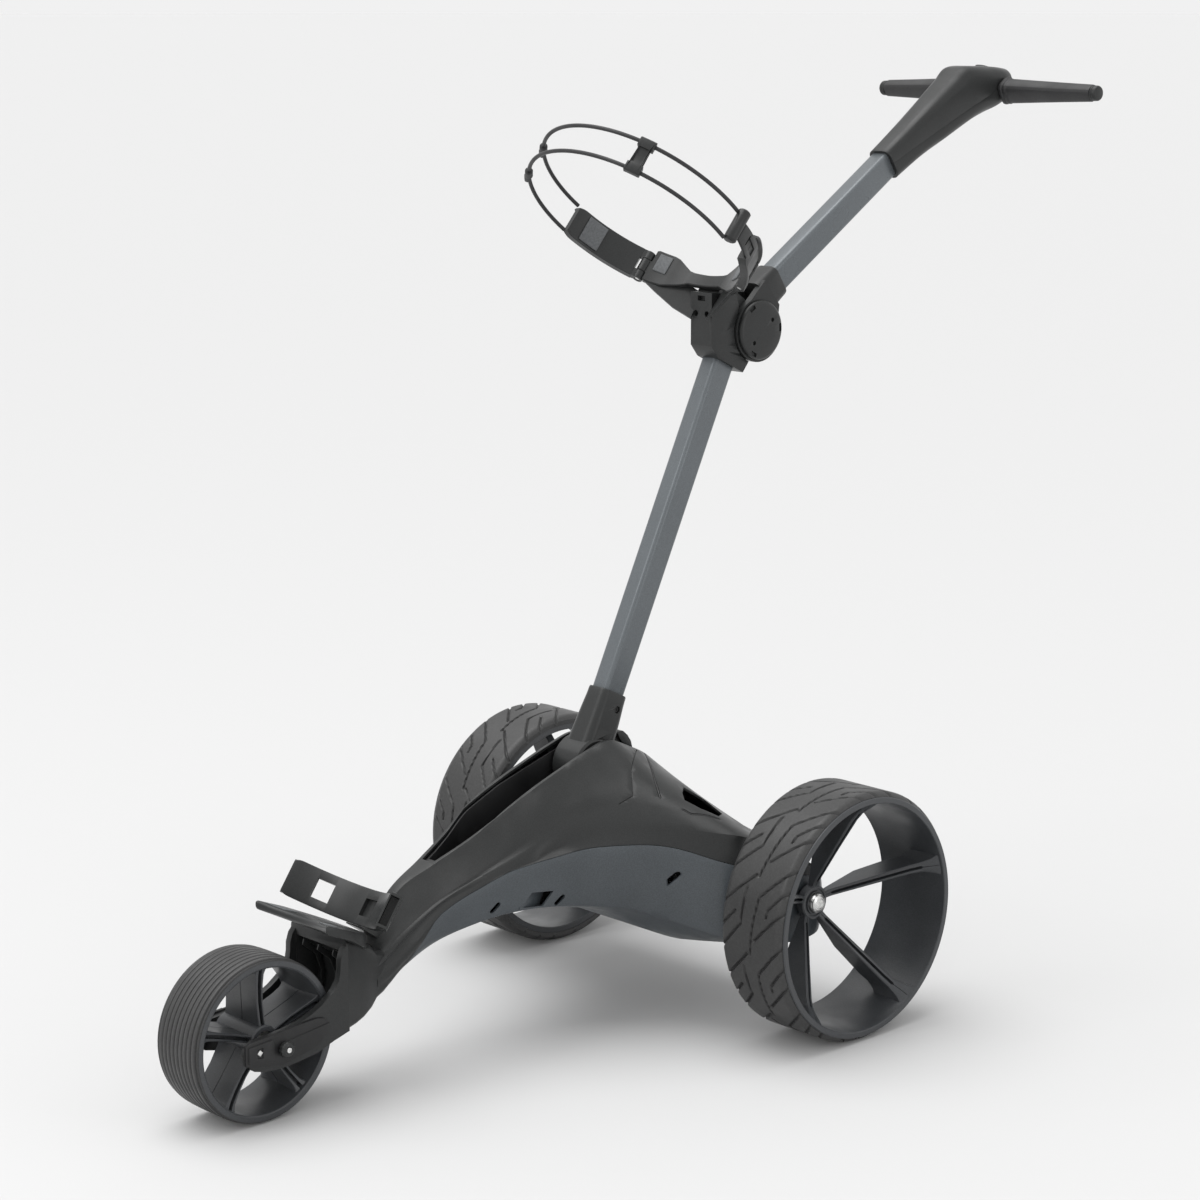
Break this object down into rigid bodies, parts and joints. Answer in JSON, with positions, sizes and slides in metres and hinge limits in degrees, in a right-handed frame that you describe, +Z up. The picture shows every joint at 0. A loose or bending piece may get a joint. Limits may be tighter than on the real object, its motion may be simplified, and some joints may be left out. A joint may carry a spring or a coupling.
{
  "type": "electric golf trolley",
  "caption": "Folding electric golf trolley: a battery frame on driven rear wheels and a front wheel, a hinged mast with a bag ring, and a T-bar handle.",
  "frame": {"origin": "on the floor, under the middle of the trolley's bounding box", "axes": "+Z up; the trolley drives towards -Y; its left side is +X"},
  "size_m": [0.6, 1.3036, 1.0824],
  "materials": {
    "charcoal_plastic": "fine moulded grain",
    "slate_plastic": "satin moulded",
    "black_plastic": "matte",
    "tube_paint": "satin metallic paint",
    "tyre_rubber": "matte, moulded tread",
    "rim_plastic": "satin",
    "grip_rubber": "matte",
    "pad_rubber": "soft matte",
    "bright_steel": "turned",
    "bar_alloy": "drawn",
    "cast_alloy": "as cast",
    "bush_brass": "machined",
    "gear_nylon": "satin",
    "board_green": "lacquered"
  },
  "bodies": {
    "chassis": {"frame_shell": "charcoal_plastic", "lower_shell": "slate_plastic", "battery_tray": "black_plastic", "battery_connector": "black_plastic", "left_gearbox_half": "cast_alloy", "right_gearbox_half": "cast_alloy", "motor_can": "bright_steel", "left_axle_bush": "bush_brass", "right_axle_bush": "bush_brass", "fold_pin": "bright_steel", "left_axle_bracket": "charcoal_plastic", "right_axle_bracket": "charcoal_plastic", "front_axle": "bright_steel", "bag_rest_band": "charcoal_plastic", "bag_rest_bracket": "charcoal_plastic"},
    "drive_axle": {"rear_axle": "bright_steel", "drive_gear": "gear_nylon"},
    "left_wheel": {"left_tyre": "tyre_rubber", "left_rim": "rim_plastic"},
    "right_wheel": {"right_tyre": "tyre_rubber", "right_rim": "rim_plastic"},
    "left_button": {"left_release_button": "bright_steel"},
    "right_button": {"right_release_button": "bright_steel"},
    "rotor": {"motor_rotor": "bright_steel"},
    "front_wheel": {"front_tyre": "tyre_rubber", "front_rim": "rim_plastic", "left_front_bearing": "bright_steel", "right_front_bearing": "bright_steel"},
    "knob": {"tracking_knob": "charcoal_plastic"},
    "latch": {"fold_latch": "charcoal_plastic"},
    "lower_frame": {"lower_tube": "tube_paint", "tube_socket": "charcoal_plastic", "hinge_bracket": "charcoal_plastic", "hinge_pin": "bright_steel", "cradle_yoke": "charcoal_plastic", "left_arm_pin": "bright_steel", "right_arm_pin": "bright_steel", "left_yoke_pad": "pad_rubber", "right_yoke_pad": "pad_rubber"},
    "upper_frame": {"hinge_collar": "charcoal_plastic", "left_hinge_disc": "charcoal_plastic", "right_hinge_disc": "charcoal_plastic", "upper_tube": "tube_paint", "handle_top_shell": "charcoal_plastic", "handle_bottom_shell": "charcoal_plastic", "handlebar": "bar_alloy", "left_grip": "grip_rubber", "right_grip": "grip_rubber", "left_grip_cap": "charcoal_plastic", "right_grip_cap": "charcoal_plastic", "control_board": "board_green"},
    "dial": {"speed_dial": "charcoal_plastic"},
    "left_arm": {"left_cradle_arm": "charcoal_plastic", "left_arm_pad": "pad_rubber"},
    "right_arm": {"right_cradle_arm": "charcoal_plastic", "right_arm_pad": "pad_rubber", "upper_strap": "grip_rubber", "lower_strap": "grip_rubber", "strap_bridge_clip": "charcoal_plastic"}
  },
  "joints": [
    {"name": "axle_spin", "type": "hinge", "parent": "chassis", "child": "drive_axle", "pos_m": [0, 0.08528, 0.1447], "axis": [1, 0, 0], "continuous": true},
    {"name": "left_wheel_spin", "type": "hinge", "parent": "chassis", "child": "left_wheel", "pos_m": [0, 0.08528, 0.1447], "axis": [1, 0, 0], "continuous": true},
    {"name": "right_wheel_spin", "type": "hinge", "parent": "chassis", "child": "right_wheel", "pos_m": [0, 0.08528, 0.1447], "axis": [1, 0, 0], "continuous": true},
    {"name": "motor_spin", "type": "hinge", "parent": "chassis", "child": "rotor", "pos_m": [0, 0.03329, 0.141], "axis": [1, 0, 0], "continuous": true},
    {"name": "left_button_press", "type": "slide", "parent": "left_wheel", "child": "left_button", "axis": [-1, 0, 0], "range_m": [0, 0.0025], "stiffness_N_per_m": 600},
    {"name": "right_button_press", "type": "slide", "parent": "right_wheel", "child": "right_button", "axis": [1, 0, 0], "range_m": [0, 0.0025], "stiffness_N_per_m": 600},
    {"name": "front_wheel_spin", "type": "hinge", "parent": "chassis", "child": "front_wheel", "pos_m": [0, -0.56222, 0.0896], "axis": [1, 0, 0], "continuous": true},
    {"name": "tracking_turn", "type": "hinge", "parent": "chassis", "child": "knob", "pos_m": [0.056, -0.55071, 0.084], "axis": [1, 0, 0], "range_deg": [-90, 90]},
    {"name": "latch_pull", "type": "hinge", "parent": "chassis", "child": "latch", "pos_m": [0, -0.00971, 0.309], "axis": [-1, 0, 0], "range_deg": [0, 12], "stiffness_Nm_per_rad": 0.6},
    {"name": "lower_fold", "type": "hinge", "parent": "chassis", "child": "lower_frame", "pos_m": [0, -0.07472, 0.297], "axis": [1, 0, 0], "range_deg": [0, 112], "deforming": ["upper_strap", "lower_strap", "strap_bridge_clip"]},
    {"name": "upper_fold", "type": "hinge", "parent": "lower_frame", "child": "upper_frame", "pos_m": [0, 0.18929, 0.78], "axis": [-1, 0, 0], "range_deg": [0, 135]},
    {"name": "dial_turn", "type": "hinge", "parent": "upper_frame", "child": "dial", "pos_m": [0, 0.6123, 1.0722], "axis": [0, 0.3371, 0.9415], "range_deg": [-135, 135]},
    {"name": "left_arm_swing", "type": "hinge", "parent": "lower_frame", "child": "left_arm", "pos_m": [0.08365, 0.09972, 0.85264], "axis": [0, 0.6428, 0.766], "range_deg": [0, 18]},
    {"name": "right_arm_swing", "type": "hinge", "parent": "lower_frame", "child": "right_arm", "pos_m": [-0.08365, 0.09972, 0.85264], "axis": [0, -0.6428, -0.766], "range_deg": [0, 18]}
  ],
  "couplings": [
    {"joint": "left_wheel_spin", "follows": "axle_spin", "ratio": 1},
    {"joint": "right_wheel_spin", "follows": "axle_spin", "ratio": 1},
    {"joint": "motor_spin", "follows": "axle_spin", "ratio": -4}
  ]
}
